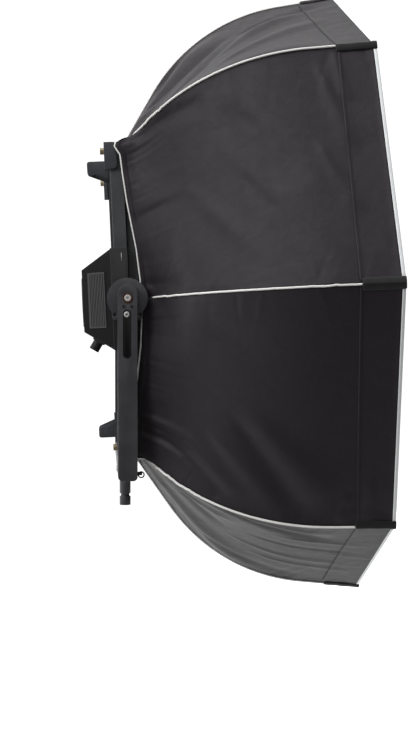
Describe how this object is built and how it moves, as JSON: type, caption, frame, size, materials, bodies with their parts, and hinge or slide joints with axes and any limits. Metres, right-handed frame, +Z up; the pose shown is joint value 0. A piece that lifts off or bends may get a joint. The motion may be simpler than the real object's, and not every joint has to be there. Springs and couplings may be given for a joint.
{
  "type": "studio softbox",
  "caption": "Octagonal cloth softbox on a square clamp frame, clamped to a flat panel light head that tilts in a U-shaped yoke with a junior spigot.",
  "frame": {"origin": "centre of the spigot's shoulder, where it meets its collar under the crossbar", "axes": "+X is the way the light shines, before the head is tilted; +Z up; Y along the tilt axis; the head stands 2.5 degrees nose up"},
  "size_m": [0.7076, 1.5128, 1.5113],
  "materials": {
    "shell_cloth": "matt woven nylon",
    "piping_cord": "matt corded piping",
    "pocket_webbing": "matt woven webbing",
    "rod_steel": "drawn spring steel",
    "black_plastic": "matt moulded nylon",
    "frame_black": "satin powder coat",
    "screw_steel": "zinc plated",
    "thumb_brass": "knurled, dull",
    "diffusion_cloth": "white diffusion cloth",
    "lamp_black": "satin powder coat",
    "lamp_diffuser": "opal sheet",
    "circuit_board": "lacquered board",
    "led_phosphor": "phosphor under silicone",
    "handle_grey": "satin powder coat",
    "yoke_black": "satin powder coat",
    "bush_bronze": "dull bronze",
    "cap_black": "black oxide",
    "plate_black": "gloss label film"
  },
  "bodies": {
    "yoke": {"yoke_arm_left": "yoke_black", "yoke_arm_right": "yoke_black", "yoke_crossbar": "yoke_black", "tilt_hubs": "yoke_black", "tilt_bushes": "bush_bronze", "yoke_screws": "cap_black", "arm_plates": "plate_black", "spigot": "yoke_black", "ring_staple": "cap_black"},
    "head": {"shell_panel_1": "shell_cloth", "shell_panel_2": "shell_cloth", "shell_panel_3": "shell_cloth", "shell_panel_4": "shell_cloth", "shell_panel_5": "shell_cloth", "shell_panel_6": "shell_cloth", "shell_panel_7": "shell_cloth", "shell_panel_8": "shell_cloth", "front_band": "shell_cloth", "side_skirts": "shell_cloth", "rear_collar": "shell_cloth", "seam_piping": "piping_cord", "rod_pockets": "pocket_webbing", "rods": "rod_steel", "rod_tips": "black_plastic", "rod_sockets": "frame_black", "frame_rail_top": "frame_black", "frame_rail_bottom": "frame_black", "frame_rail_left": "frame_black", "frame_rail_right": "frame_black", "frame_corner_plates": "frame_black", "frame_clamps": "frame_black", "frame_screws": "screw_steel", "inner_diffuser": "diffusion_cloth", "diffuser_straps": "pocket_webbing", "outer_diffuser": "diffusion_cloth", "lamp_back_plate": "lamp_black", "lamp_side_rails": "lamp_black", "lamp_end_rails": "lamp_black", "lamp_front_panel": "lamp_diffuser", "led_board": "circuit_board", "led_strips": "led_phosphor", "rear_housing": "lamp_black", "side_vents": "lamp_black", "fan_guards": "lamp_black", "fan_frames": "black_plastic", "driver_board": "circuit_board", "power_connector": "black_plastic", "handle_bars": "handle_grey", "handle_brackets": "lamp_black", "side_brackets": "lamp_black", "tilt_washers": "screw_steel", "tilt_bolts": "screw_steel"},
    "thumb_1": {"thumb_screw_1": "thumb_brass"},
    "thumb_2": {"thumb_screw_2": "thumb_brass"},
    "thumb_3": {"thumb_screw_3": "thumb_brass"},
    "thumb_4": {"thumb_screw_4": "thumb_brass"},
    "fan_1": {"fan_rotor_1": "black_plastic"},
    "fan_2": {"fan_rotor_2": "black_plastic"},
    "lever": {"lock_lever": "yoke_black"},
    "ring": {"safety_ring": "cap_black"}
  },
  "joints": [
    {"name": "head_tilt", "type": "hinge", "parent": "yoke", "child": "head", "pos_m": [0, 0, 0.428], "axis": [0, -1, 0], "range_deg": [-0.5, 85]},
    {"name": "lever_turn", "type": "hinge", "parent": "yoke", "child": "lever", "pos_m": [0, 0.43, 0.428], "axis": [0, 1, 0], "range_deg": [0, 60]},
    {"name": "thumb_1_turn", "type": "hinge", "parent": "head", "child": "thumb_1", "pos_m": [-0.05275, -0.352, 0.76502], "axis": [0.999, 0, 0.0436], "continuous": true},
    {"name": "thumb_2_turn", "type": "hinge", "parent": "head", "child": "thumb_2", "pos_m": [-0.05275, 0.352, 0.76502], "axis": [0.999, 0, 0.0436], "continuous": true},
    {"name": "thumb_3_turn", "type": "hinge", "parent": "head", "child": "thumb_3", "pos_m": [-0.02318, -0.352, 0.08767], "axis": [0.999, 0, 0.0436], "continuous": true},
    {"name": "thumb_4_turn", "type": "hinge", "parent": "head", "child": "thumb_4", "pos_m": [-0.02318, 0.352, 0.08767], "axis": [0.999, 0, 0.0436], "continuous": true},
    {"name": "fan_1_spin", "type": "hinge", "parent": "head", "child": "fan_1", "pos_m": [-0.09891, -0.15, 0.42368], "axis": [0.999, 0, 0.0436], "continuous": true},
    {"name": "fan_2_spin", "type": "hinge", "parent": "head", "child": "fan_2", "pos_m": [-0.09891, 0.15, 0.42368], "axis": [0.999, 0, 0.0436], "continuous": true},
    {"name": "ring_swing", "type": "hinge", "parent": "yoke", "child": "ring", "pos_m": [0.0315, -0.368, 0.028], "axis": [0, -1, 0], "range_deg": [-20, 150]}
  ]
}
